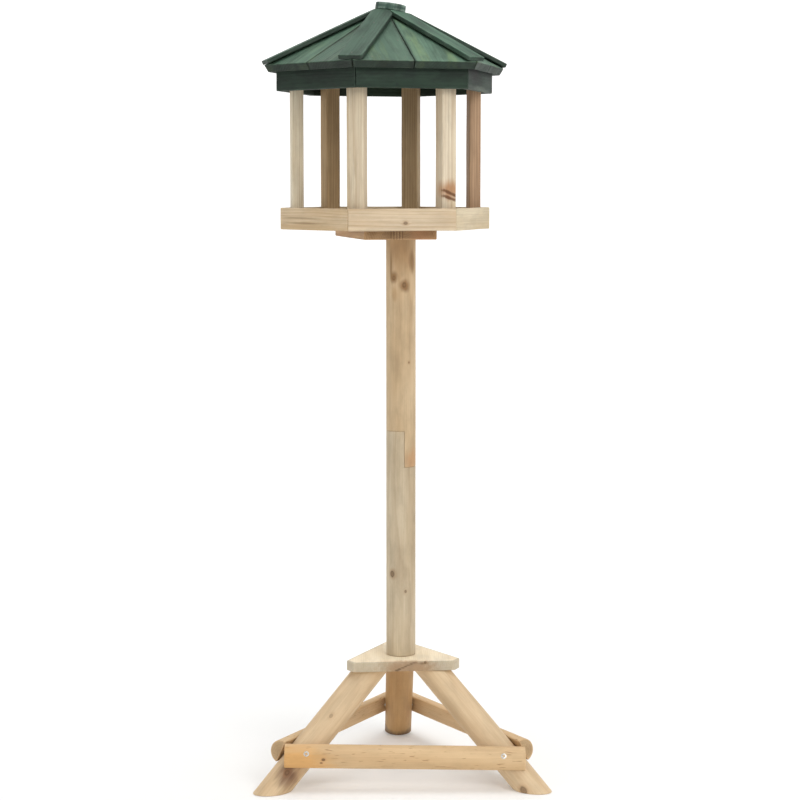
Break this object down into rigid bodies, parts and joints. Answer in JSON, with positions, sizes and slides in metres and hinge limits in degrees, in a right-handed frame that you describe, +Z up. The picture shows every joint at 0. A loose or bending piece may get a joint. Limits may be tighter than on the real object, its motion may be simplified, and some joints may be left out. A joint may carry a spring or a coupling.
{
  "type": "bird feeder on pole",
  "caption": "Hexagonal roofed bird table on a round wooden pole with a splayed log tripod stand; posts carry a stained, batten-trimmed pyramid roof.",
  "frame": {"origin": "on the floor, under the middle of the object's bounding box", "axes": "+Z up, front towards -Y (the side where one crossbar faces the viewer), +X to the viewer's right"},
  "size_m": [0.4564, 0.4477, 1.2012],
  "materials": {
    "pale_pine": "planed pale pine, light oil, matt",
    "pine_log": "debarked round and half-round pine, matt",
    "pine_pole": "turned pine pole, matt, with knots",
    "brown_pine": "planed pine, darker heartwood, matt",
    "green_stained_trim": "pine with a dark green wood stain",
    "green_stained_roof": "pine with a green wood stain, worn",
    "zinc_screw": "bright zinc-plated screws"
  },
  "bodies": {
    "root": {"crossbar_front": "pine_log", "crossbar_front_screw_left": "zinc_screw", "crossbar_front_screw_right": "zinc_screw", "crossbar_left": "pine_log", "crossbar_left_screw_left": "zinc_screw", "crossbar_left_screw_right": "zinc_screw", "crossbar_right": "pine_log", "crossbar_right_screw_left": "zinc_screw", "crossbar_right_screw_right": "zinc_screw", "fascia_board_1": "green_stained_trim", "fascia_board_2": "green_stained_trim", "fascia_board_3": "green_stained_trim", "fascia_board_4": "green_stained_trim", "fascia_board_5": "green_stained_trim", "fascia_board_6": "green_stained_trim", "floor_plank_1": "pale_pine", "floor_plank_2": "pale_pine", "floor_plank_3": "pale_pine", "hip_batten_1": "green_stained_roof", "hip_batten_2": "green_stained_roof", "hip_batten_3": "green_stained_roof", "hip_batten_4": "green_stained_roof", "hip_batten_5": "green_stained_roof", "hip_batten_6": "green_stained_roof", "lap_screw_lower": "zinc_screw", "lap_screw_upper": "zinc_screw", "leg_front_left": "pine_log", "leg_front_right": "pine_log", "leg_rear": "pine_log", "lower_pole": "pine_pole", "pole_foot_screw": "zinc_screw", "pole_head_screw": "zinc_screw", "post_front_left": "pale_pine", "post_front_right": "pale_pine", "post_left": "pale_pine", "post_rear_left": "pale_pine", "post_rear_right": "pale_pine", "post_right": "pale_pine", "roof_board_1a": "green_stained_roof", "roof_board_1b": "green_stained_roof", "roof_board_2a": "green_stained_roof", "roof_board_2b": "green_stained_roof", "roof_board_3a": "green_stained_roof", "roof_board_3b": "green_stained_roof", "roof_board_4a": "green_stained_roof", "roof_board_4b": "green_stained_roof", "roof_board_5a": "green_stained_roof", "roof_board_5b": "green_stained_roof", "roof_board_6a": "green_stained_roof", "roof_board_6b": "green_stained_roof", "roof_cap": "green_stained_trim", "support_cleat": "brown_pine", "tray_rim_1": "pale_pine", "tray_rim_2": "pale_pine", "tray_rim_3": "pale_pine", "tray_rim_4": "pale_pine", "tray_rim_5": "pale_pine", "tray_rim_6": "pale_pine", "tripod_plate": "pale_pine", "upper_pole": "pine_pole"}
  },
  "joints": []
}
